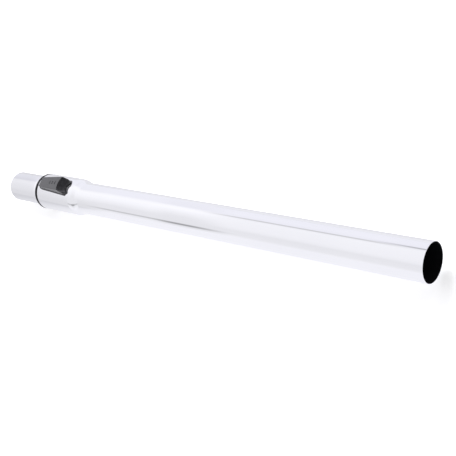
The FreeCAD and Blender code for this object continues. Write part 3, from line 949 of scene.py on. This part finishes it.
MOUTH_BANDS = [(-90, 0.95), (-55, 0.955), (-44, 0.93), (-40, 0.5), (-37, 0.5), (-33, 0.97)] + SOCKET_NEAR
SWAGE_BANDS = [(-90, 0.93), (-41, 0.92), (-30, 1.06), (-18, 1.08), (5, 0.98), (29, 0.88), (52, 0.865),
               (68, 0.86), (73, 0.38), (79, 0.38), (84, 0.86), (90, 0.89)]
# Directions along the wand between which the room's bands change
ROOM = [(-0.7, -0.55, SOCKET_BANDS), (-0.42, -0.34, MOUTH_BANDS)]
# Stations along the tent, in metres, between which its bands change
TENT_ROOM = [(-0.372, -0.28, HEAD_BANDS), (-0.25, -0.2, NECK_BANDS), (-0.19, -0.12, TUBE_BANDS),
             (-0.025, 0.03, SWAGE_BANDS)]
TENT_R = 300.0
TENT_X = -3000.0
TENT_END_X = 150.0
TENT_FADE = 95.0
TENT_TURN = 94.5
# The bands are bluer beyond this angle
FAR_WALL = -35
FAR_BLUE = 1.07
BLUE = 1.035
SKY_BRIGHTEST = 1.2
DARK_SIDE = 0.1
LIT_SIDE = 0.6
FLAG_X = BUTTON_X + BUTTON_LENGTH + 4.0
FLAG_HALF = 22.0
FLAG_HEIGHT = 32.0


def sky_bands(tree, share, stops):
    """A colour ramp over the angle round the wand."""
    bands = tree.nodes.new("ShaderNodeValToRGB")
    ramp = bands.color_ramp
    ramp.elements.remove(ramp.elements[1])
    first, last = stops[0][0], stops[-1][0]
    for angle, grey in stops:
        position = (angle - first) / (last - first)
        stop = ramp.elements.new(position) if position > 0 else ramp.elements[0]
        stop.position = position
        blue = grey * (FAR_BLUE if angle < FAR_WALL else BLUE)
        stop.color = (grey / SKY_BRIGHTEST, grey / SKY_BRIGHTEST, blue / SKY_BRIGHTEST, 1)
    tree.links.new(share, bands.inputs["Fac"])
    return bands.outputs["Color"]


def bands_along(tree, place, first, changes):
    """Bands round the wand's axis that change along it."""
    x, y, z = place
    turn = math_node(tree, "ARCTAN2", math_node(tree, "MULTIPLY", y, -1.0), z)
    share = math_node(tree, "ADD", math_node(tree, "DIVIDE", turn, math.pi), 0.5)
    shade = sky_bands(tree, share, first)
    for start, end, stops in changes:
        mix = tree.nodes.new("ShaderNodeMix")
        mix.data_type = "RGBA"
        tree.links.new(spread(tree, x, start, end, 0.0, 1.0), mix.inputs["Factor"])
        colours = [socket for socket in mix.inputs if socket.type == "RGBA"]
        tree.links.new(shade, colours[0])
        tree.links.new(sky_bands(tree, share, stops), colours[1])
        shade = [socket for socket in mix.outputs if socket.type == "RGBA"][0]
    return shade


def tent():
    """A light tent over the nozzle half of the wand, which fades out along it and carries painted reflections
    that change stretch by stretch. Only polished faces show it.
    """
    made, tree = empty_material("tent_painted_reflection")
    place = coordinates(tree, "Object")
    glow = emission(tree, SKY_BRIGHTEST, bands_along(tree, place, SPIGOT_BANDS, TENT_ROOM))
    clear = tree.nodes.new("ShaderNodeBsdfTransparent")
    fade = spread(tree, place[0], (TENT_END_X - TENT_FADE) * MM, TENT_END_X * MM, 0.0, 1.0)
    set_surface(tree, mix_shaders(tree, fade, glow, clear.outputs[0]))
    hoop = arc((0, 0), TENT_R, 90 - TENT_TURN, 90 + TENT_TURN, HOOP_STEPS)
    verts = [(x, y, z) for x in (TENT_X, TENT_END_X) for y, z in hoop]
    faces = [(i, i + 1, i + 1 + len(hoop), i + len(hoop)) for i in range(len(hoop) - 1)]
    cover = new_object("tent", verts, faces, [made])
    only_in_reflections(cover)


def studio():
    """A bright room with bands round the wand's axis, which are painted reflections for the chrome.

    Its light is dim from beyond the socket end. Polished faces see it bright all round, and the camera
    sees it white.
    """
    world = bpy.data.worlds.new("studio")
    bpy.context.scene.world = world
    world.use_nodes = True
    tree = world.node_tree
    place = coordinates(tree, "Generated")
    lit_side = math_node(tree, "MULTIPLY", math_node(tree, "MAXIMUM", place[1], 0.0), LIT_SIDE)
    along = math_node(tree, "SUBTRACT", place[0], lit_side)
    dim = spread(tree, along, -0.15, 0.25, SKY_BRIGHTEST, SKY_BRIGHTEST * DARK_SIDE)
    path = tree.nodes.new("ShaderNodeLightPath")
    strength = spread(tree, path.outputs["Is Glossy Ray"], 0.0, 1.0, dim, SKY_BRIGHTEST)
    light = tree.nodes["Background"]
    tree.links.new(bands_along(tree, place, TUBE_BANDS, ROOM), light.inputs["Color"])
    tree.links.new(strength, light.inputs["Strength"])
    white = tree.nodes.new("ShaderNodeBackground")
    white.inputs["Color"].default_value = (1, 1, 1, 1)
    shown = mix_shaders(tree, path.outputs["Is Camera Ray"], light.outputs[0], white.outputs[0])
    tree.links.new(shown, tree.nodes["World Output"].inputs["Surface"])


def flag():
    """A dark card beyond the button's tail, which puts painted shade into the reflections in the button's
    scoop and the nearby chrome. Only polished faces show it, and only from the button's side.
    """
    made, tree = empty_material("painted_shade_card")
    clear = tree.nodes.new("ShaderNodeBsdfTransparent")
    facing = tree.nodes.new("ShaderNodeNewGeometry")
    shown = mix_shaders(tree, facing.outputs["Backfacing"], clear.outputs[0], emission(tree, DARK_SIDE))
    set_surface(tree, shown)
    corners = [(-FLAG_HALF, 0), (FLAG_HALF, 0), (FLAG_HALF, FLAG_HEIGHT), (-FLAG_HALF, FLAG_HEIGHT)]
    verts = [(FLAG_X, y, HEAD_R + rise) for y, rise in corners]
    card = new_object("flag", verts, [(0, 1, 2, 3)], [made])
    only_in_reflections(card)


KEY_FROM = (-0.55, 0.55, 0.6)
KEY_STRENGTH = 2.6
KEY_SPREAD = 40.0


def key_lamp():
    """A wide soft lamp beyond the nozzle end. Metal shows the room instead of the lamp."""
    data = bpy.data.lights.new("key", "SUN")
    data.energy = KEY_STRENGTH
    data.angle = math.radians(KEY_SPREAD)
    lamp = bpy.data.objects.new("key", data)
    lamp.rotation_euler = Vector(KEY_FROM).to_track_quat("Z", "Y").to_euler()
    lamp.visible_glossy = False
    bpy.context.scene.collection.objects.link(lamp)


# Where the photograph was taken from
CAMERA_PLACE = (828.6, -218.9, 561.0)
CAMERA_RIGHT = (0.7562, 0.3992, -0.5184)
CAMERA_DOWN = (0.1439, -0.8744, -0.4634)
CAMERA_LENS = 64.95


def camera():
    data = bpy.data.cameras.new("camera")
    data.lens = CAMERA_LENS
    data.sensor_width = 36.0
    data.clip_end = 100.0
    view = bpy.data.objects.new("camera", data)
    bpy.context.scene.collection.objects.link(view)
    right = Vector(CAMERA_RIGHT).normalized()
    up = -Vector(CAMERA_DOWN).normalized()
    back = right.cross(up)
    turn = Matrix((right, up, back)).transposed().to_4x4()
    view.matrix_world = Matrix.Translation(Vector(CAMERA_PLACE) * MM) @ turn
    bpy.context.scene.camera = view


floor()
tent()
studio()
flag()
key_lamp()
camera()
bpy.context.scene.view_settings.view_transform = "Standard"
